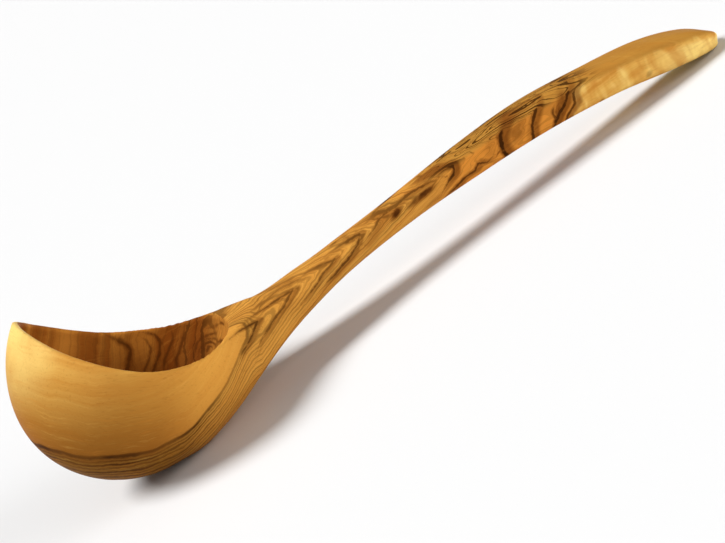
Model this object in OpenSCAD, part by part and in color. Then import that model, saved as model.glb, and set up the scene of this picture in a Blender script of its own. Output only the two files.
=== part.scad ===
// Carved wooden soup ladle, cut from a single piece of olive wood: a deep round bowl,
// a neck that flares out of the bowl's back, a slim curved shaft and a flat paddle grip.
// The four solids are regions of that one piece and meet face to face.
//
// The shape is first described with the bowl's mouth level: the bowl's ball is centred on
// the origin, the handle rises along +X and the whole ladle is symmetric about Y = 0.
// It is then turned handle down, until the bowl and the end of the grip both rest on Z = 0.
// A small flat is carved where the bowl meets the table.

/* [Bowl] */
// Radius of the bowl's outside
bowl_r = 46; // [45:0.25:47]
// Radius of the hollow
hollow_r = 42.8; // [40:0.2:43]
// How far the hollow's centre lies behind the bowl's centre
hollow_back = 3; // [1:0.5:3.5]
// How far the hollow's centre lies above the bowl's centre
hollow_up = 4; // [2:0.5:5]
// Height of the front lip above the bowl's centre
lip_h = 20.25; // [16:0.25:24]
// Height of the rim's sides above the bowl's centre
side_h = 5.6; // [4:0.2:8]
// How much flatter the front of the bowl is than a ball, as a share of its radius
front_flat = 0.042; // [0:0.002:0.05]
// Radius of the small flat under the bowl, on which the ladle lies still
foot_r = 10; // [6:1:14]

/* [Handle] */
// Width of the shaft where it is slimmest
shaft_w = 19; // [15:0.5:22]
// Width of the grip
grip_w = 26; // [22:0.5:32]
// Length of the rounded end of the grip
end_len = 17; // [12:0.5:22]
// Width of the blunt end, as a share of the grip's width
end_share = 0.3; // [0.1:0.02:0.5]
// Angle by which the blunt end leans back from its lower edge
end_lean = 20; // [0:2:30]

/* [Detail] */
// Points around the outside of each cross-section
arc_n = 48; // [32:4:52]
// Distance between cross-sections along the handle
pitch = 3.5; // [3.5:0.5:6]

/* [Hidden] */

// Where the regions meet, and the end of the grip
neck_x = 54;
shaft_x = 112;
grip_x = 190;
tip_x = 258.6;

// Back of the ball, from which the keel and the plan curve leave it. Each curve also starts
// a little before that, on the ball, so that it leaves the ball without a kink.
keel_x = 22;
plan_x = 30;
run_in = 12;
function ball(x) = sqrt(max(bowl_r ^ 2 - x ^ 2, 0));

// Where the ball's cross-section at x really stands: the front of the ball is pushed back a little
flat_power = 5;
function stand(x) = x < 0 ? x + front_flat * bowl_r * (-x / bowl_r) ^ flat_power : x;

// Upper edge of the side profile: lip, dipping rim, neck, rising shaft, level grip
top_line = [
    [-bowl_r, lip_h], [-26, side_h + 0.41 * (lip_h - side_h)], [0, side_h], [20, side_h + 1.2],
    [36, 12], [50, 20.4], [60, 28], [77, 36], [94, 47.8], [110, 59.2], [140, 81.3],
    [170, 100.5], [200, 114.5], [225, 125], [245, 129.4], [tip_x, 128.4]
];
// Lower edge of the side profile, from the ball's underside to the end of the grip
keel_line = [
    for (x = [keel_x - run_in, keel_x]) [x, -ball(x)],
    [34, -34.3], [46, -21.5], [60, 0], [76, 16], [95, 33], [120, 51.2], [150, 70.5], [180, 88.5],
    [210, 103.5], [235, 113], [tip_x, 122.6]
];
// Half the width in plan, from the ball's side to the grip
plan_line = [
    for (x = [plan_x - run_in, plan_x]) [x, ball(x)],
    [43, 27.5], [56, 23], [70, 17.5], [90, shaft_w / 2 + 2.7], [120, shaft_w / 2],
    [150, shaft_w / 2 + 0.2], [180, shaft_w / 2 + 1.3], [205, grip_w / 2 - 0.7], [225, grip_w / 2],
    [240, grip_w / 2 - 0.3], [tip_x, grip_w / 2 - 1]
];

// A smooth curve through a list of points: cubic segments with shared slopes
function slope(p, i) =
    let (a = max(i - 1, 0), b = min(i + 1, len(p) - 1)) (p[b].y - p[a].y) / (p[b].x - p[a].x);
function stretch(p, x, i = 0) = i >= len(p) - 2 || x <= p[i + 1].x ? i : stretch(p, x, i + 1);
function curve(p, x) =
    let (i = stretch(p, x), h = p[i + 1].x - p[i].x, t = (x - p[i].x) / h)
    (2 * t ^ 3 - 3 * t ^ 2 + 1) * p[i].y + (3 * t ^ 2 - 2 * t ^ 3) * p[i + 1].y
    + h * ((t ^ 3 - 2 * t ^ 2 + t) * slope(p, i) + (t ^ 3 - t ^ 2) * slope(p, i + 1));
function ease(t) = let (u = min(max(t, 0), 1)) u * u * (3 - 2 * u);

function top(x) = curve(top_line, x);
function keel(x) = x < keel_x ? -ball(x) : curve(keel_line, x);
function rounded_end(x) =
    let (k = max(x - tip_x + end_len, 0) / end_len) sqrt(max(1 - k ^ 2, end_share ^ 2));
function half_width(x) = (x < plan_x ? ball(x) : curve(plan_line, x)) * rounded_end(x);

// Cross-section of the ball, cut off level at the rim. f runs 0 to 1 round the outside.
tiny = 0.01;
function rim_angle(x) = asin(min(top(x) / max(half_width(x), tiny), 1));
function ball_arc(x, f) =
    let (c = rim_angle(x), a = c - f * (180 + 2 * c), w = half_width(x))
    [w * cos(a), sin(a) < 0 ? -keel(x) * sin(a) : w * sin(a)];
function ball_rim(x, f) = let (p = ball_arc(x, 1)) [p.x * (1 - 2 * f), p.y];

// Cross-section of the handle: a rounded oval on the neck that turns squarer in the grip.
// An oval with the power 2 is an ellipse, and a higher power makes it squarer.
oval_corner = 50;
neck_power = 2.3;
grip_power = 4.2;
square_x = 120;
square_len = 90;
function power(x) = neck_power + (grip_power - neck_power) * ease((x - square_x) / square_len);
function oval(x, a) =
    let (n = power(x), t = top(x), k = keel(x))
    [half_width(x) * sign(cos(a)) * abs(cos(a)) ^ (2 / n),
     (t + k) / 2 + (t - k) / 2 * sign(sin(a)) * abs(sin(a)) ^ (2 / n)];
function oval_arc(x, f) = oval(x, oval_corner - f * (180 + 2 * oval_corner));
function oval_top(x, f) = oval(x, 180 - oval_corner - f * (180 - 2 * oval_corner));

// One closed cross-section at x. The ball's section turns into the oval along the neck.
rim_n = 14;
hollow_facets = 96;
blend_x = 34;
blend_len = 44;
function mix(p, q, m) = (1 - m) * p + m * q;
function ring(x) =
    let (m = ease((x - blend_x) / blend_len))
    [for (i = [0 : arc_n]) concat(stand(x), mix(ball_arc(x, i / arc_n), oval_arc(x, i / arc_n), m)),
     for (i = [1 : rim_n - 1]) concat(stand(x), mix(ball_rim(x, i / rim_n), oval_top(x, i / rim_n), m))];

// Where the cross-sections stand: close together round the two ends, even in between.
// Round an end they follow a quarter circle in equal steps of this many degrees.
bowl_step = 3.5;
end_step = 10;
function even(a, b) = let (n = ceil((b - a) / pitch)) [for (i = [0 : n]) a + (b - a) * i / n];
end_x = tip_x - end_len;
bowl_xs = concat([for (a = [bowl_step : bowl_step : 90 - bowl_step]) -bowl_r * cos(a)], even(0, neck_x));
grip_xs = concat(even(grip_x, end_x), [for (a = [end_step : end_step : 90]) end_x + end_len * sin(a)]);

// Depth of the flat, and the angle at which it and the end of the grip lie on the table
// together, found by halving the span between two angles
foot_cut = bowl_r - sqrt(bowl_r ^ 2 - foot_r ^ 2);
least_turn = 20;
most_turn = 60;
halvings = 30;
function lowest(xs, turn) = min([for (x = xs) keel(x) * cos(turn) - stand(x) * sin(turn)]);
function lying(lo, hi, n) =
    let (mid = (lo + hi) / 2)
    n == 0 ? mid
    : lowest(bowl_xs, mid) + foot_cut < lowest(grip_xs, mid) ? lying(mid, hi, n - 1)
    : lying(lo, mid, n - 1);
turn = lying(least_turn, most_turn, halvings);
table_z = lowest(bowl_xs, turn) + foot_cut;
near_x = min([for (x = bowl_xs) stand(x) * cos(turn) + keel(x) * sin(turn)]);
end_top = tip_x - (top(tip_x) - keel(tip_x)) * tan(end_lean);
far_x = max([for (p = [[end_top, top(end_top)], [tip_x, keel(tip_x)]]) p.x * cos(turn) + p.y * sin(turn)]);

module lay() translate([-(near_x + far_x) / 2, 0, -table_z]) rotate([0, turn, 0]) children();

// Everything under the table
module below_table() translate([-far_x, -bowl_r, -bowl_r]) cube([2 * far_x, 2 * bowl_r, bowl_r]);

// The solid between each two neighbouring cross-sections
module skin(xs) {
    n = len(ring(xs[0]));
    for (i = [0 : len(xs) - 2])
        hull() polyhedron(
            concat(ring(xs[i]), ring(xs[i + 1])),
            [[for (k = [0 : n - 1]) k], [for (k = [0 : n - 1]) n + k]]
        );
}

module bowl() {
    color([0.80, 0.58, 0.28]) difference() {
        lay() difference() {
            skin(bowl_xs);
            translate([hollow_back, 0, hollow_up]) sphere(r = hollow_r, $fn = hollow_facets);
        }
        below_table();
    }
}

module neck() {
    color([0.72, 0.47, 0.20]) lay() skin(even(neck_x, shaft_x));
}

module shaft() {
    color([0.76, 0.51, 0.23]) lay() skin(even(shaft_x, grip_x));
}

// Everything beyond the slanted end of the grip
module beyond_end()
    translate([tip_x, 0, keel(tip_x)]) rotate([0, -end_lean, 0])
        translate([0, -grip_w, -grip_w]) cube(2 * grip_w);

module grip() {
    color([0.84, 0.63, 0.33]) lay() difference() {
        skin(grip_xs);
        beyond_end();
    }
}

bowl();
neck();
shaft();
grip();
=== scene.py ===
"""A soup ladle carved from one piece of olive wood, lying on a pale table.

The CAD regions (bowl, neck, shaft, grip) are joined into one seamless carved surface. The figure of
the wood, with painted shade and highlights, is worked out at every point of that surface and drawn by
one procedural material.

Shapes and figure are described with the bowl's mouth level: the ball of the bowl is centred on the
origin, +X runs toward the grip, +Z is up out of the mouth, and lengths are in millimetres.
"""
import math

import bpy
import numpy as np
from mathutils import Matrix, Vector, noise


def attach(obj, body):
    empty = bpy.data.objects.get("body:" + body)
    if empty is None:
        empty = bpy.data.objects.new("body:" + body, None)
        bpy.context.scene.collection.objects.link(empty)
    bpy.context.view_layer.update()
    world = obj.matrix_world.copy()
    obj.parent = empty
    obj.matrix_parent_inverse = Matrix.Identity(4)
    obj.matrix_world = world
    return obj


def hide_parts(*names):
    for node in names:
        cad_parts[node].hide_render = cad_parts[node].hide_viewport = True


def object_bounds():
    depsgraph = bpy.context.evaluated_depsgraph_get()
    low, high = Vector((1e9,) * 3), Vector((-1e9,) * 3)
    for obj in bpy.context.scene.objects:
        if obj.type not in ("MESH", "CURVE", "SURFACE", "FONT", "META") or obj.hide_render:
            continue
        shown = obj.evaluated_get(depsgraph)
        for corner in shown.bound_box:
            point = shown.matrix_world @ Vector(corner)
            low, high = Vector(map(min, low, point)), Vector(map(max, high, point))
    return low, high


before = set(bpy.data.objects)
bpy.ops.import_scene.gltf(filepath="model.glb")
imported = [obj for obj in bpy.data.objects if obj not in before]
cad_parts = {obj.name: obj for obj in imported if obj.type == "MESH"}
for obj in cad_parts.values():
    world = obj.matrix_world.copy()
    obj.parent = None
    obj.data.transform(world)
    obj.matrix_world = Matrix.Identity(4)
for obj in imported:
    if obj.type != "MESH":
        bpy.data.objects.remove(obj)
cad_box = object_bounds()

MM = 0.001
REGIONS = ["bowl", "neck", "shaft", "grip"]

# ---- the mouth-level frame, found from the CAD -------------------------------------------------

SAME_POINT = 0.01 * MM
WIDEST_SHARE = 0.945    # points further sideways than this share of the bowl's radius lie on its ball
INNER_SHARE = 0.94      # points nearer the centre than this share of the radius lie on the hollow


def rows_of(items, field, size=3, kind=float):
    """One field of a mesh's points, edges or triangles, as an array with a row for each."""
    values = np.empty(len(items) * size, kind)
    items.foreach_get(field, values)
    return values.reshape(-1, size)


def vertices(node):
    return rows_of(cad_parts[node].data.vertices, "co")


def triangles(node):
    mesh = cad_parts[node].data
    mesh.calc_loop_triangles()
    return rows_of(mesh.loop_triangles, "vertices", 3, int)


def keys(points):
    """Points as whole hundredths of a millimetre, so that points that coincide compare equal."""
    return [tuple(key) for key in np.round(points / SAME_POINT).astype(int)]


def fitted_ball(points):
    """Centre and radius of the ball that fits the points best."""
    rows = np.hstack([2 * points, np.ones((len(points), 1))])
    fit = np.linalg.lstsq(rows, (points ** 2).sum(1), rcond=None)[0]
    return fit[:3], math.sqrt(fit[3] + (fit[:3] ** 2).sum())


def ball_of_bowl():
    """Centre and radius of the bowl's outside, fitted to the points that stand out furthest sideways."""
    points = vertices("bowl")
    radius = np.abs(points[:, 1]).max()
    centre = fitted_ball(points[np.abs(points[:, 1]) > WIDEST_SHARE * radius])[0]
    return centre * [1, 0, 1], radius


def level_axes():
    """Rows: the level frame's X, Y and Z. X is square to the flat section between bowl and neck."""
    neck = set(keys(vertices("neck")))
    shared = np.array([p for p, k in zip(vertices("bowl"), keys(vertices("bowl"))) if k in neck])
    x_axis = np.linalg.svd(shared - shared.mean(0))[2][2]
    x_axis = np.array([x_axis[0], 0.0, x_axis[2]]) * np.sign(x_axis[0])
    x_axis /= np.linalg.norm(x_axis)
    y_axis = np.array([0.0, 1.0, 0.0])
    return np.array([x_axis, y_axis, np.cross(x_axis, y_axis)])


BALL, BALL_R = ball_of_bowl()
AXES = level_axes()


def level(points):
    """Points of the row frame in metres, as points of the level frame in millimetres."""
    return (points - BALL) @ AXES.T / MM


def from_level(vector):
    """A direction in the level frame, as a direction in the row frame."""
    return Vector(np.array(vector) @ AXES)


def hollow_of_bowl():
    """Centre and radius of the hollow, fitted to the bowl's points that lie well inside its outside."""
    points = level(vertices("bowl"))
    inner = (np.linalg.norm(points, axis=1) < INNER_SHARE * BALL_R / MM) & (points[:, 2] < 0)
    return fitted_ball(points[inner])


HOLLOW, HOLLOW_R = hollow_of_bowl()


# ---- the carved surface ------------------------------------------------------------------------

VOXEL = 0.72 * MM
SMOOTH_PASSES = 30
RIM_PASSES = 9
RIM_SPREAD = 3          # steps from point to point over which the rim's softening fades out
RIM_DIP = 0.5           # how far the rim's top face may reach into the ball of the hollow
RIM_END = 46            # in X, where the neck's top face takes over from the rim
RIM_FACES_UP = 0.6      # least upward part of a normal on the rim's top face


def add(made):
    """Puts an object into the scene."""
    bpy.context.scene.collection.objects.link(made)


def joined_regions():
    """The four regions as one closed mesh: their meeting faces are dropped and their edges welded."""
    where, points, faces = {}, [], []
    for node in REGIONS:
        own = keys(vertices(node))
        others = set()
        for other in REGIONS:
            if other != node:
                others.update(keys(vertices(other)))
        index = []
        for key, point in zip(own, vertices(node)):
            if key not in where:
                where[key] = len(points)
                points.append(point)
            index.append(where[key])
        for tri in triangles(node):
            corner = [index[i] for i in tri]
            if len(set(corner)) == 3 and not all(own[i] in others for i in tri):
                faces.append(corner)
    mesh = bpy.data.meshes.new("ladle")
    mesh.from_pydata(np.array(points), [], faces)
    mesh.update()
    return mesh


def remeshed(mesh):
    """An even fine mesh over the same shape, drawn back onto it so that no step is left on an edge."""
    shape = bpy.data.objects.new("shape", mesh)
    form = bpy.data.objects.new("form", mesh)
    for made in (shape, form):
        add(made)
    remesh = shape.modifiers.new("remesh", "REMESH")
    remesh.mode = "VOXEL"
    remesh.voxel_size = VOXEL
    wrap = shape.modifiers.new("wrap", "SHRINKWRAP")
    wrap.target = form
    graph = bpy.context.evaluated_depsgraph_get()
    fine = bpy.data.meshes.new_from_object(shape.evaluated_get(graph))
    for made in (shape, form):
        bpy.data.objects.remove(made)
    return fine


def neighbour_mean(values, edges):
    """The mean over each point's neighbours, for an array with a row for each point."""
    ends = np.concatenate([edges, edges[:, ::-1]])
    count = np.bincount(ends[:, 0], minlength=len(values))
    totals = [np.bincount(ends[:, 0], column[ends[:, 1]], len(values)) for column in values.T]
    return np.stack(totals, 1) / count[:, None]


def smoothed(points, edges, passes, share=0.5, back=0.94):
    """Every point drawn toward the mean of its neighbours, then let go by the share back of that."""
    for _ in range(passes):
        for step in (share, -back * share):
            points = points + step * (neighbour_mean(points, edges) - points)
    return points


def rim_share(points, normals, edges):
    """1 on the rim's top face, fading out over a few millimetres round it."""
    at = level(points)
    beyond = np.linalg.norm(at - HOLLOW, axis=1) > HOLLOW_R - RIM_DIP
    on_top = beyond & (at[:, 0] < RIM_END) & (normals[:, 2] > RIM_FACES_UP)
    share = on_top.astype(float)[:, None]
    for _ in range(RIM_SPREAD):
        share = np.maximum(share, neighbour_mean(share, edges))
    return share


def ladle():
    """The four regions as one carved surface, smoothed all over and once more along the rim."""
    mesh = remeshed(joined_regions())
    points = rows_of(mesh.vertices, "co")
    edges = rows_of(mesh.edges, "vertices", 2, int)
    share = rim_share(points, rows_of(mesh.vertex_normals, "vector") @ AXES.T, edges)
    points = smoothed(points, edges, SMOOTH_PASSES)
    points = smoothed(points, edges, RIM_PASSES, 0.5 * share, 0.0)
    mesh.vertices.foreach_set("co", points.ravel())
    mesh.update()
    mesh.shade_smooth()
    return bpy.data.objects.new("ladle", mesh)


# ---- the figure of the wood, with painted shade and highlights ---------------------------------

# Dark veins on the near side, drawn one by one: half width, depth of colour, then points in X and Z
NEAR_VEINS = [
    (0.55, 0.95, [(117, 66), (125, 71), (133, 75), (138.5, 76.5), (138.5, 73), (136.5, 69), (133, 64)]),
    (0.4, 0.7, [(108, 56), (116, 62), (124, 67.5), (131, 71), (134.5, 71.5)]),
    (0.45, 0.8, [(134, 61), (139, 66), (143, 71), (148, 74), (149, 77), (153, 77.5), (158, 82)]),
    (0.9, 1.0, [(172, 101), (166, 98), (162, 95.5), (160, 92), (159, 87), (160, 83),
                (163, 79), (169, 71)]),
    (0.55, 0.9, [(177, 108), (173.5, 97), (172, 92), (172.5, 88), (175, 84), (179, 77)]),
    (0.7, 0.95, [(190, 114), (187, 105), (186, 101), (184, 97), (183, 93), (184, 89), (186, 82)]),
    (0.45, 0.8, [(193, 113), (189.5, 104.5), (190.5, 101), (188, 96), (188, 92), (188, 84)]),
    (0.35, 0.7, [(182, 101), (181, 97), (183, 94), (182, 90)]),
    (0.4, 0.8, [(40, 12.6), (47, 15.8), (54, 18.8), (50.5, 13.4), (45, 7), (42, 1)]),
    (0.4, 0.7, [(44.5, 16.5), (53.5, 22), (61, 25.5), (69.5, 29.3), (65, 23), (58.5, 16.5),
                (53, 9.5), (49, 2)]),
    (0.3, 0.5, [(49, 22), (58, 27), (65.5, 31), (73.5, 33.5), (69.5, 29)]),
    (0.35, 0.65, [(70, 32), (78.5, 36.3), (88, 40.4), (81, 33.5), (74.3, 26), (68.3, 19)]),
    (0.4, 0.75, [(83, 39.5), (90.7, 45), (99.3, 49.8), (97.8, 46), (92.7, 39.7), (85.3, 32.7), (77, 25)]),
    (0.35, 0.65, [(99, 51.3), (107, 56.5), (115, 61.6), (109.4, 57), (104, 51), (98.4, 44.5)]),
]
NO_VEIN = 40.0              # a distance, in half widths, at which no vein shows
HALO_SHIFT = (1.6, 0.6)     # a rusty shade lies this far beside each near vein, in X and Z

# The far side repeats the near side's veins, moved this far toward the bowl and down
FAR_SHIFT = 13
FAR_DROP = 0.78 * FAR_SHIFT

# Veins that rise up the far wall inside the bowl
INNER_VEINS = [
    (0.65, 0.9, [(2.5, 5.5), (5.6, 3.6), (9.2, 1.7), (12.3, 0), (14, -2.3), (13.2, -6.3),
                 (12, -10), (13, -24)]),
    (0.35, 0.6, [(8.5, 3.5), (11, 1.6), (12.8, -0.9)]),
    (0.45, 0.85, [(14.8, 5), (19.2, 5.3), (23.7, 4.4), (25.6, 1.6), (25.2, -3.6),
                  (22.5, -10), (21, -22)]),
    (0.35, 0.65, [(17, 3.8), (20.3, 2), (22, -1.4), (21, -6.2), (19, -10), (18, -18)]),
    (0.4, 0.75, [(29.4, 8), (30.4, 3.7), (29, -1), (26.8, -6), (26, -12)]),
    (0.45, 0.8, [(34.4, 10), (34, 3.8), (32.7, -1.2), (31, -5.5), (31.5, -12)]),
    (0.35, 0.7, [(37, -5), (38.3, 2), (40, 5), (42.4, 7.2), (44.3, 9), (45, 12)]),
    (0.35, 0.8, [(39.8, -2), (40.8, 2.7), (42.3, 4), (43.6, 3.7), (43.7, 1.6)]),
    (0.3, 0.7, [(41, -1.5), (41.8, 1.8), (42.6, 2.3), (43, 1)]),
    (0.3, 0.6, [(38.3, -4), (39.4, 1), (41.2, 4.6), (43.6, 6), (44.7, 4.3), (44.5, 2)]),
    (0.3, 0.5, [(40.7, 9), (43.3, 11), (44.5, 14)]),
]

# Stains of darker wood: X, offset up from the middle line, length, width, and depth of colour
STAINS = [
    (114, 2.5, 4.0, 2.2, 1.0), (125, 1.6, 9.5, 2.0, 1.0), (69, 9.5, 8.0, 3.6, 0.5),
    (166, 0.5, 5.5, 5.5, 0.5), (185, 0.0, 3.5, 8.0, 0.8), (172, -1.0, 3.0, 6.0, 0.45),
    (155, 1.0, 4.0, 6.0, 0.25), (104, 0.5, 5.0, 3.0, 0.35), (223, -4.0, 1.8, 1.6, 0.5),
    (203, -6.0, 1.6, 1.2, 0.5), (131, -3.5, 6.0, 1.6, 0.35),
]

# The main dark line of the bowl, which turns up into the neck: points in X and Z, drawn one by one
MAIN_LINE = [
    (-60, -25), (-46, -27), (-36, -28), (-28, -28.5), (-19, -30.5), (-10, -29.5), (6, -28), (22, -21),
    (35, -8), (44, 6), (51, 16), (58, 24), (70, 34),
]
MAIN_SOFTENING = 9      # the length over which its corners are rounded off

# The line in the near flank that the neck's cones run round: X, and height over the middle line
CONE_LINE = [(72, 8), (87, 6.6), (101, 4.8), (120, 3), (139, 4)]

STATION_REACH = 0.06    # CAD points this near in X belong to one section of the handle
STATION_POINTS = 20     # and a whole section has more points than this

KNOT = (41, 14, 5)      # the knot at the back of the hollow
GRIP_START = 186        # in X, where the wood begins to turn pale toward the grip

# Growth lines that stand out, by their level in the figure, their half width and how dark they are
GROWTH_LINES = [
    (0.0, 0.9, 1.0), (-1.9, 0.22, 0.7), (-3.3, 0.4, 0.85), (-4.8, 0.2, 0.6), (-6.6, 0.35, 0.8),
    (-8.0, 0.2, 0.6), (-9.6, 0.35, 0.75), (-11.6, 0.2, 0.6), (-13.7, 0.3, 0.75), (-15.4, 0.2, 0.5),
    (-17.5, 0.3, 0.7), (-19.2, 0.2, 0.5), (-21.0, 0.3, 0.65), (-23.4, 0.2, 0.5),
]


def smoothstep(lo, hi, x):
    """0 at lo, 1 at hi, smooth in between; lo may be the larger."""
    t = np.clip((x - lo) / (hi - lo), 0, 1)
    return t * t * (3 - 2 * t)


def fade(lo, hi, x):
    """1 at lo, 0 at hi, smooth in between."""
    return 1 - smoothstep(lo, hi, x)


def spine():
    """The handle's middle line: its height Z over X, and its half width, read from the CAD regions."""
    points = np.concatenate([level(vertices(node)) for node in REGIONS[1:]])
    stations = np.unique(np.round(points[:, 0], 1))
    rows = []
    for x in stations:
        ring = points[np.abs(points[:, 0] - x) < STATION_REACH]
        if len(ring) > STATION_POINTS:
            rows.append((x, (ring[:, 2].max() + ring[:, 2].min()) / 2, ring[:, 1].max()))
    return np.array(rows).T


def distance_to_line(x, z, line):
    """Distance to a drawn line, and how far along the line its nearest point is, from 0 to 1."""
    best = np.full(len(x), np.inf)
    share = np.zeros(len(x))
    lengths = [math.hypot(x1 - x0, z1 - z0) for (x0, z0), (x1, z1) in zip(line[:-1], line[1:])]
    walked = 0.0
    for (x0, z0), (x1, z1), length in zip(line[:-1], line[1:], lengths):
        dx, dz = x1 - x0, z1 - z0
        t = np.clip(((x - x0) * dx + (z - z0) * dz) / length ** 2, 0, 1)
        away = np.hypot(x - x0 - t * dx, z - z0 - t * dz)
        share = np.where(away < best, (walked + t * length) / sum(lengths), share)
        best = np.minimum(best, away)
        walked += length
    return best, share


def main_line(x):
    """Height of the main dark line at each X, with its corners rounded off."""
    step = 0.5
    fine = np.arange(-70, 80, step)
    rough = np.interp(fine, *np.array(MAIN_LINE).T)
    window = np.hanning(int(MAIN_SOFTENING / step) | 1)
    return np.interp(x, fine, np.convolve(rough, window / window.sum(), "same"))


def nearest_vein(x, z, veins):
    """Distance to the nearest drawn vein in half widths, and that vein's depth of colour."""
    best = np.full(len(x), NO_VEIN)
    depth = np.zeros(len(x))
    for half, dark, line in veins:
        away, share = distance_to_line(x, z, line)
        taper = 0.3 + 0.7 * smoothstep(0, 0.3, np.minimum(share, 1 - share))
        away = away / (half * taper)
        depth = np.where(away < best, dark * taper, depth)
        best = np.minimum(best, away)
    return best, depth


def slow_noise(points, size, seed):
    """Smooth noise from about -1 to 1, with features of the given size in millimetres."""
    shift = Vector((seed * 17.3, seed * 5.1, seed * 9.7))   # each seed reads another part of the noise
    return np.array([noise.noise(Vector(p) / size + shift) for p in points])


class Place:
    """Where each point of the surface lies on the ladle."""

    def __init__(self, points):
        line_x, line_z, half_width = spine()
        slope = np.arctan(np.gradient(line_z, line_x))
        walked = np.cumsum(np.hypot(np.gradient(line_x), np.gradient(line_z)))
        x, y, z = points.T
        self.x, self.y, self.z = x, y, z
        self.middle = np.interp(x, line_x, line_z)
        self.width = np.interp(x, line_x, half_width)
        self.pitch = np.interp(x, line_x, slope)
        self.along = np.interp(x, line_x, walked) + np.minimum(x - line_x[0], 0)
        self.up = (z - self.middle) * np.cos(self.pitch)
        self.edge_gap = np.maximum(self.width - np.abs(y) - 1, 0)
        self.wander = slow_noise(points, 34, 1)
        self.tremble = slow_noise(points, 6, 2)

        # Shares from 0 to 1: on the far side, on the handle's top face and on its flank
        self.far = smoothstep(-3, 6, y)
        self.top_face = smoothstep(2.5, 5.0, self.up) * smoothstep(118, 140, x)
        self.flank = smoothstep(128, 142, x) * (1 - self.top_face)

        # Inside the bowl; on the far side the hollow's figure reaches up onto the rim
        wall = 1.9 * smoothstep(0, 20, y)
        beyond = np.linalg.norm(points - HOLLOW, axis=1) - HOLLOW_R - wall
        self.inside = fade(0.1, 0.8, beyond) * fade(38, 50, x)


def layers(at):
    """The wood's layers outside the hollow: every layer is a level of this field."""
    # In the bowl they lie flat and turn up into the neck. On the neck's top face they follow the grain.
    turned = 1.1 * at.edge_gap * smoothstep(34, 44, at.x)
    flat = 0.8 * (at.z - main_line(at.x)) - turned + 0.7 * at.wander
    # Along the neck they are cones round a line in the near flank, which cut the surface in Vs.
    crest = np.interp(at.x, *np.array(CONE_LINE).T) - 3 * at.far
    off = np.hypot(at.z - at.middle - crest, 0.3 * (at.y + at.width))
    cones = -0.3 * (at.x - 56) - np.hypot(off, 0.6) + 1.2 * at.wander
    return flat + (cones - flat) * smoothstep(40, 62, at.x)


def hollow_layers(at):
    """The layers inside the bowl, which swirl round the knot at its back."""
    knot_x, knot_y, knot_z = KNOT
    squares = (at.x - knot_x) ** 2 + (0.35 * (at.z - knot_z)) ** 2 + (0.55 * (at.y - knot_y)) ** 2
    return np.sqrt(squares) + 3.5 * at.wander


def line_strength(at, ring):
    """How strongly the dark lines show: little on the pale side of the bowl and in the grip."""
    strength = 1 - smoothstep(-0.1, 1.6, ring) * fade(44, 60, at.x)
    strength *= 1 - 0.85 * smoothstep(GRIP_START, GRIP_START + 14, at.x)
    strength *= 1 - 0.9 * at.flank
    strength *= 1 - 0.3 * smoothstep(20, 36, at.x) * fade(96, 116, at.x)
    return strength


def burl(at):
    """How strongly the burl shows: on the handle's top face, and a little on its flank."""
    on_top = at.top_face * fade(GRIP_START + 2, GRIP_START + 19, at.x)
    return on_top + 0.25 * at.flank * fade(GRIP_START, GRIP_START + 6, at.x)


def vein_fields(at):
    """How far the nearest vein is, how dark it is, and how far the rusty shade beside it is."""
    bent = at.x + 0.5 * at.wander + 0.7 * at.tremble
    lifted = at.z + 0.3 * np.maximum(at.edge_gap - 2, 0) * fade(60, 90, at.x)
    near = nearest_vein(bent, lifted, NEAR_VEINS)
    far = nearest_vein(at.x + FAR_SHIFT + 2 * at.wander, at.z + FAR_DROP, NEAR_VEINS)
    inner = nearest_vein(at.x + 1.5 * at.wander * (1 - at.far), at.z, INNER_VEINS)
    veins, depth = np.where(at.inside > 0.5, inner, np.where(at.far > 0.5, far, near))
    veins = veins + 5 * smoothstep(4, 6, at.up) * at.top_face * (1 - at.inside)
    beside = nearest_vein(bent - HALO_SHIFT[0], lifted - HALO_SHIFT[1], NEAR_VEINS)[0]
    return {"veins": veins, "depth": depth, "halo": beside * (1 - at.far) + NO_VEIN * at.far}


def stains(at):
    """How dark the stains are; on the far side they lie a little nearer the bowl."""
    darkest = np.zeros(len(at.x))
    for place, lift, length, broad, tone in STAINS:
        past = (at.x + 9 * at.far - place) / np.cos(at.pitch)
        reach = np.hypot(past / length, (at.up - lift) / broad)
        darkest = np.maximum(darkest, tone * fade(0.35, 1.15, reach))
    return darkest


def tones(at, ring):
    """Tones: the low side of the bowl olive brown and darker toward the bottom, the handle's top face
    olive brown, both partly painted shade; the grip pale; the shaft's flank orange; painted shade far
    down in the hollow; painted highlights on the bowl's front lip and on the grip's end.
    """
    outside = 1 - at.inside
    # olive brown low on the bowl's front and on the handle's top face: partly the wood's own tone, partly
    # painted shade
    olive = np.maximum(fade(-3, 0, ring) * fade(10, 36, at.x), 0.75 * at.top_face)
    # darker brown toward the bottom of the bowl's front: partly the wood's own tone, partly painted shade
    umber_and_shade = fade(-8, 44, ring) * fade(4, 34, at.x)
    grip = smoothstep(GRIP_START, GRIP_START + 10, at.x) * (1 - at.top_face)
    # painted highlight on the lower part of the grip's end
    end = smoothstep(216, 246, at.x) * grip * fade(1.0, 3.0, at.up)
    return {
        "olive": olive * outside,
        "umber_and_shade": umber_and_shade * outside,
        "orange": at.flank * fade(GRIP_START, GRIP_START + 7, at.x),
        "grip": grip,
        "pale": np.maximum(grip, fade(-38, 6, at.x - 0.5 * at.z)),
        # painted highlight on the bowl's front lip and on the grip's end
        "light": np.maximum(fade(-46, -30, at.x - 0.4 * at.z), end),
        # painted shade: the hollow darker the further down and toward its back
        "deep": at.inside * np.maximum(0.8 * smoothstep(10, 42, at.x), 0.7 * smoothstep(4, -12, at.z)),
    }


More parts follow.
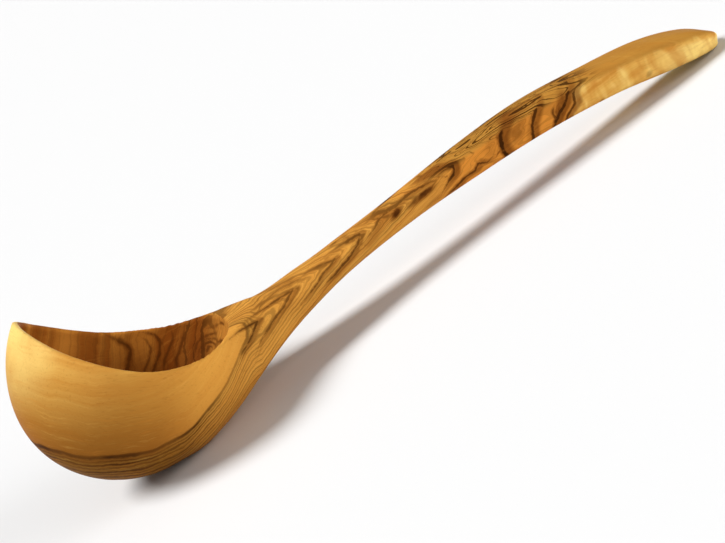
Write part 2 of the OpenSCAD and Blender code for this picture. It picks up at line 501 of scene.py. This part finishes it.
def figure(points):
    """The wood's figure at each point of the surface, with its painted shade and highlights, as a
    dictionary of fields.
    """
    at = Place(points)
    ring = layers(at)
    fields = {
        "ring": ring,
        "hollow_ring": hollow_layers(at),
        "inside": at.inside,
        "strength": line_strength(at, ring),
        "burl": burl(at),
        "stains": stains(at),
        "along": at.along,
        "across": at.up,
        "aside": at.y,
    }
    return {**fields, **vein_fields(at), **tones(at, ring)}


def add_fields(mesh, fields):
    for name, values in fields.items():
        layer = mesh.attributes.new(name, "FLOAT", "POINT")
        layer.data.foreach_set("value", values.astype(np.float32))


# ---- materials ---------------------------------------------------------------------------------


class Nodes:
    """A small helper that makes and joins shader nodes."""

    def __init__(self, name):
        self.material = bpy.data.materials.new(name)
        self.material.use_nodes = True
        self.tree = self.material.node_tree
        self.shader = self.tree.nodes["Principled BSDF"]

    def new(self, kind, inputs=None, **settings):
        made = self.tree.nodes.new(kind)
        for key, value in settings.items():
            setattr(made, key, value)
        for key, value in (inputs or {}).items():
            self.put(made.inputs[key], value)
        return made

    def put(self, socket, value):
        """Joins a socket to an output, or sets it to a plain value."""
        if isinstance(value, bpy.types.NodeSocket):
            self.tree.links.new(value, socket)
        else:
            socket.default_value = value

    def field(self, name):
        return self.new("ShaderNodeAttribute", attribute_name=name).outputs["Fac"]

    def math(self, operation, *values):
        made = self.new("ShaderNodeMath", operation=operation)
        for socket, value in zip(made.inputs, values):
            self.put(socket, value)
        return made.outputs[0]

    def times(self, a, b):
        return self.math("MULTIPLY", a, b)

    def plus(self, a, b):
        return self.math("ADD", a, b)

    def most(self, a, b):
        return self.math("MAXIMUM", a, b)

    def step(self, value, lo, hi):
        """0 at lo, 1 at hi, smooth in between; lo may be the larger."""
        made = self.new("ShaderNodeMapRange", interpolation_type="SMOOTHSTEP")
        for socket, number in zip(made.inputs, (value, lo, hi, 0.0, 1.0)):
            self.put(socket, number)
        return made.outputs[0]

    def mix(self, share, a, b):
        """Colour a turned toward colour b. The sockets go by number, as their names repeat."""
        made = self.new("ShaderNodeMix", data_type="RGBA")
        for socket, value in ((0, share), (6, a), (7, b)):
            self.put(made.inputs[socket], value)
        return made.outputs[2]

    def tint(self, ground, share, amount, colour):
        """The ground turned toward a colour, by a share times an amount."""
        return self.mix(self.times(share, amount), ground, colour)

    def vector(self, x, y, z):
        return self.new("ShaderNodeCombineXYZ", {"X": x, "Y": y, "Z": z}).outputs[0]

    def noise(self, place, scale, detail=2.0, rough=0.5):
        sockets = {"Vector": place, "Scale": scale, "Detail": detail, "Roughness": rough}
        return self.new("ShaderNodeTexNoise", sockets).outputs["Fac"]

    def noise_1d(self, value, scale, detail=2.0, rough=0.5):
        sockets = {"W": value, "Scale": scale, "Detail": detail, "Roughness": rough}
        return self.new("ShaderNodeTexNoise", sockets, noise_dimensions="1D").outputs["Fac"]

    def stretched_noise(self, axes, scales, detail, rough):
        """Noise over three values, each with a scale of its own."""
        place = self.vector(*(self.times(value, scale) for value, scale in zip(axes, scales)))
        return self.noise(place, 1.0, detail, rough)

    def contour(self, value, half):
        """Thin irregular lines: where a noise crosses its middle."""
        away = self.math("ABSOLUTE", self.math("SUBTRACT", value, 0.5))
        return self.step(away, half, half * 0.2)


def rgb(red, green, blue):
    """A colour as the eye reads it, 0 to 255, turned to the linear values that a shader takes."""
    return tuple(((c / 255 + 0.055) / 1.055) ** 2.4 for c in (red, green, blue)) + (1.0,)


# pale colour of the grip's bands, also the colour of the painted highlights on the bowl's lip and the
# grip's end
PALE_BAND_AND_HIGHLIGHT = rgb(252, 218, 128)
PALE = rgb(232, 182, 92)
HONEY = rgb(214, 153, 66)
ORANGE = rgb(196, 125, 48)
BRIGHT = rgb(218, 136, 50)
# dark brown, partly the wood's own tone and partly painted shade
UMBER_AND_SHADE = rgb(132, 79, 24)
# olive brown, partly the wood's own tone and partly painted shade
OLIVE_AND_SHADE = rgb(126, 88, 32)
RUST = rgb(112, 56, 15)
DARK = rgb(50, 25, 6)
HOLLOW_LIGHT = rgb(190, 122, 46)
HOLLOW_BROWN = rgb(146, 80, 24)
# colour of the painted shade far down in the hollow
PAINTED_HOLLOW_SHADE = rgb(98, 42, 8)

# Noise over the object's place has scales per metre; noise over the figure has them per millimetre
BROAD_WAVES = 70.0
FINE_TREMBLE = 420.0

SATIN = 0.4             # the oiled surface's roughness, which the fibres vary
SHEEN = 0.004           # nearly none: the oiled wood mirrors almost nothing of the white studio
FIBRE_BUMP = 0.25
FIBRE_HEIGHT = 0.2 * MM
TABLE_GREY = 0.77


class Wood(Nodes):
    """The wood's nodes, with the values that every part of its colour is drawn from."""

    def __init__(self):
        super().__init__("olive_wood")
        self.where = self.new("ShaderNodeTexCoord").outputs["Object"]
        self.inside = self.field("inside")
        self.outside = self.math("SUBTRACT", 1.0, self.inside)
        self.strength = self.field("strength")
        self.along = self.field("along")
        self.across = self.field("across")
        self.aside = self.field("aside")

        # The layers waver: broad waves and a fine tremble
        self.broad = self.math("SUBTRACT", self.noise(self.where, BROAD_WAVES, 2.0), 0.5)
        self.fine = self.math("SUBTRACT", self.noise(self.where, FINE_TREMBLE, 3.0), 0.5)
        sway = self.plus(self.times(self.broad, 3.2), self.times(self.fine, 1.0))
        self.layer = self.plus(self.field("ring"), sway)
        self.hollow_layer = self.plus(self.field("hollow_ring"), self.times(sway, 1.6))

        # Fibres run along the grain, and streaks along the layers
        grain = (self.along, self.across, self.aside)
        layered = (self.along, self.layer, self.aside)
        self.fibre = self.stretched_noise(grain, (0.14, 1.6, 1.6), 3.0, 0.6)
        self.streak = self.stretched_noise(layered, (0.07, 1.3, 0.05), 4.0, 0.7)


def ground_colour(m):
    """Honey layers between pale and orange, a slow mottle, and the tone of each region, painted shade
    and highlights among them.
    """
    bands = m.noise_1d(m.layer, 0.2, 3.0, 0.55)
    mottle = m.noise(m.where, 34.0, 3.0)
    banded = m.times(m.step(bands, 0.34, 0.72), m.plus(0.35, m.times(m.strength, 0.4)))
    ground = m.mix(banded, HONEY, ORANGE)
    ground = m.tint(ground, m.field("pale"), m.step(bands, 0.8, 0.2), PALE)
    # painted highlight on the bowl's front lip and the grip's end
    ground = m.tint(ground, m.field("light"), 0.9, PALE_BAND_AND_HIGHLIGHT)
    ground = m.tint(ground, m.step(mottle, 0.45, 0.8), 0.5, ORANGE)
    ground = m.tint(ground, m.field("orange"), 0.8, BRIGHT)
    # darker brown toward the bottom of the bowl, partly painted shade
    ground = m.tint(ground, m.field("umber_and_shade"), 0.95, UMBER_AND_SHADE)
    # olive brown low on the bowl and on the handle's top face, partly painted shade
    ground = m.tint(ground, m.field("olive"), 0.6, OLIVE_AND_SHADE)
    hollow_bands = m.step(m.noise_1d(m.hollow_layer, 0.1, 2.0), 0.35, 0.65)
    hollow = m.mix(hollow_bands, HOLLOW_LIGHT, HOLLOW_BROWN)
    # painted shade far down in the hollow
    hollow = m.tint(hollow, m.field("deep"), 0.8, PAINTED_HOLLOW_SHADE)
    return m.mix(m.inside, ground, hollow)


def with_fibres(m, ground):
    """The ground with its fibres and streaks."""
    ground = m.tint(ground, m.step(m.fibre, 0.52, 0.8), 0.25, RUST)
    ground = m.tint(ground, m.step(m.streak, 0.5, 0.75), 0.3, ORANGE)
    return m.tint(ground, m.step(m.streak, 0.48, 0.25), m.times(m.outside, 0.2), PALE)


def with_grip_bands(m, ground):
    """The ground with the grip's soft cross bands."""
    wave = m.plus(m.along, m.times(m.plus(m.across, m.times(m.broad, 14.0)), 0.5))
    flame = m.stretched_noise((wave, m.across, m.aside), (0.15, 0.06, 0.04), 2.0, 0.6)
    grip = m.field("grip")
    ground = m.tint(ground, m.step(flame, 0.48, 0.72), m.times(grip, 0.6), ORANGE)
    return m.tint(ground, m.step(flame, 0.52, 0.28), m.times(grip, 0.75), PALE_BAND_AND_HIGHLIGHT)


def growth_line(m, level_at, half, depth):
    """One dark line of the figure, sharp on its outer side, and the softer shade on its inner side."""
    offset = m.math("SUBTRACT", m.layer, level_at)
    outer = m.step(offset, half + 0.15, half * 0.5)
    core = m.step(offset, -half * 1.8, -half * 0.4)
    shade = m.step(offset, -half * 5.0, -half * 0.8)
    return m.times(m.times(outer, core), depth), m.times(m.times(outer, shade), depth)


def growth_lines(m):
    """The dark growth lines with finer lines between them, and the shade beside each dark line."""
    lines, shades = 0.0, 0.0
    for level_at, half, depth in GROWTH_LINES:
        line, shade = growth_line(m, level_at, half, depth)
        lines = m.most(lines, line)
        shades = m.most(shades, shade)
    hair = m.times(m.contour(m.noise_1d(m.layer, 0.9, 2.0), 0.035), 0.45)
    patchy = m.plus(m.times(m.step(m.noise(m.where, 60.0), 0.35, 0.65), 0.35), 0.65)
    shown = m.times(m.times(m.strength, patchy), m.outside)
    return m.times(m.most(lines, hair), shown), m.times(m.times(shades, shown), 0.28)


def swirls(m):
    """Dark swirls inside the bowl, strongest round the knot."""
    knotted = m.plus(0.3, m.times(m.step(m.field("hollow_ring"), 14.0, 7.0), 0.7))
    return m.times(m.contour(m.noise_1d(m.hollow_layer, 0.3, 2.0), 0.05), m.times(m.inside, knotted))


def burl_loops(m):
    """Burl on the handle's top face: loops stretched along the grain."""
    loops = m.stretched_noise((m.along, m.across, m.aside), (0.03, 0.1, 0.12), 1.5, 0.5)
    loops = m.contour(m.noise_1d(m.plus(loops, m.times(m.fine, 0.03)), 14.0, 1.0), 0.07)
    return m.times(loops, m.field("burl"))


def drawn_veins(m):
    """Veins of uneven width, dark in the middle, and the rusty shade beside them."""
    width = m.plus(0.55, m.times(m.noise(m.where, 160.0), 0.9))
    away = m.math("DIVIDE", m.plus(m.field("veins"), m.times(m.fine, 2.6)), width)
    vein = m.times(m.step(away, 1.5, 0.5), m.field("depth"))
    halo = m.most(m.step(away, 3.4, 0.8), m.step(m.field("halo"), 4.5, 1.0))
    rusty = m.times(m.times(halo, 0.8), m.field("depth"))
    return m.times(vein, m.math("SUBTRACT", 1.0, m.times(m.inside, 0.35))), rusty


def olive_wood():
    m = Wood()
    ground = with_grip_bands(m, with_fibres(m, ground_colour(m)))
    lines, shades = growth_lines(m)
    vein, rusty = drawn_veins(m)
    stain = m.times(m.field("stains"), m.plus(0.55, m.times(m.noise(m.where, 260.0, 3.0), 0.9)))
    rusty = m.most(rusty, m.most(m.times(stain, 0.9), shades))
    lines = m.most(lines, m.times(swirls(m), 0.7))
    dark = m.most(lines, m.most(m.times(burl_loops(m), 0.95), vein))
    dark = m.most(dark, m.times(m.step(stain, 0.62, 1.1), 0.8))
    colour = m.tint(m.mix(rusty, ground, RUST), dark, 0.92, DARK)
    m.put(m.shader.inputs["Base Color"], colour)

    roughness = m.plus(SATIN, m.times(m.math("SUBTRACT", m.fibre, 0.5), 0.25))
    m.put(m.shader.inputs["Roughness"], roughness)
    bump = m.new("ShaderNodeBump", {"Strength": FIBRE_BUMP, "Distance": FIBRE_HEIGHT, "Height": m.fibre})
    m.put(m.shader.inputs["Normal"], bump.outputs[0])
    m.put(m.shader.inputs["Specular IOR Level"], SHEEN)
    return m.material


def table_top():
    m = Nodes("table_top")
    m.put(m.shader.inputs["Base Color"], (TABLE_GREY, TABLE_GREY, TABLE_GREY, 1))
    m.put(m.shader.inputs["Roughness"], 0.9)
    m.put(m.shader.inputs["Specular IOR Level"], 0.1)
    return m.material


# ---- the scene ---------------------------------------------------------------------------------

VIEW_AZIMUTH = math.radians(17)
VIEW_ELEVATION = math.radians(9)
VIEW_DISTANCE = 1.0
AIM_RIGHT = 0.09817     # metres from the ball's centre to the middle of the view, rightward
AIM_UP = 0.03733        # and upward
LENS = 124.1
TABLE_HALF = 4.0

# Where each light comes from, as shares of the camera's right, up and back, then strength and angle
LIGHTS = {
    "key": ((-0.93, 0.3, 0.2), 3.7, 0.5),
    "fill": ((0.65, 0.5, 0.57), 2.3, 0.9),
}
WORLD = 0.18            # strength of the world's light; the camera sees the world itself as white


def camera_axes():
    """The camera's right, up and back, as directions in the row frame."""
    a, e = VIEW_AZIMUTH, VIEW_ELEVATION
    right = from_level((math.cos(a), -math.sin(a), 0))
    up = from_level((math.sin(a) * math.sin(e), math.cos(a) * math.sin(e), math.cos(e)))
    return right, up, right.cross(up)


def camera():
    """Looks at the ladle with its mouth level in the picture, so the table is seen tipped."""
    right, up, back = camera_axes()
    place = Vector(BALL) + right * AIM_RIGHT + up * AIM_UP + back * VIEW_DISTANCE
    data = bpy.data.cameras.new("camera")
    data.lens = LENS
    made = bpy.data.objects.new("camera", data)
    made.matrix_world = Matrix.Translation(place) @ Matrix((right, up, back)).transposed().to_4x4()
    add(made)
    bpy.context.scene.camera = made


def soft_light(name, side, strength, angle):
    """A far light that comes from the given side of the camera's frame."""
    data = bpy.data.lights.new(name, "SUN")
    data.energy = strength
    data.angle = angle
    made = bpy.data.objects.new(name, data)
    right, up, back = camera_axes()
    toward = right * side[0] + up * side[1] + back * side[2]
    made.rotation_mode = "QUATERNION"
    made.rotation_quaternion = toward.to_track_quat("Z", "Y")
    add(made)


def white_studio():
    """A world that lights softly and is seen as white."""
    world = bpy.data.worlds.new("studio")
    world.use_nodes = True
    tree = world.node_tree
    seen = tree.nodes.new("ShaderNodeLightPath").outputs["Is Camera Ray"]
    strength = tree.nodes.new("ShaderNodeMapRange")
    strength.inputs["To Min"].default_value = WORLD
    strength.inputs["To Max"].default_value = 1.0
    tree.links.new(seen, strength.inputs["Value"])
    background = tree.nodes["Background"].inputs
    background["Color"].default_value = (1, 1, 1, 1)
    tree.links.new(strength.outputs[0], background["Strength"])
    return world


def studio():
    """The table that the ladle lies on, the lights and the white room."""
    data = bpy.data.meshes.new("table")
    corners = [(x * TABLE_HALF, y * TABLE_HALF, 0) for x, y in ((-1, -1), (1, -1), (1, 1), (-1, 1))]
    data.from_pydata(corners, [], [(0, 1, 2, 3)])
    table = bpy.data.objects.new("table", data)
    table.location.z = cad_box[0].z
    data.materials.append(table_top())
    add(table)
    for name, (side, strength, angle) in LIGHTS.items():
        soft_light(name, side, strength, angle)
    bpy.context.scene.world = white_studio()
    bpy.context.scene.view_settings.view_transform = "Standard"


camera()
studio()
piece = ladle()
add(piece)
add_fields(piece.data, figure(level(rows_of(piece.data.vertices, "co"))))
piece.data.materials.append(olive_wood())
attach(piece, "root")
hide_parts(*REGIONS)
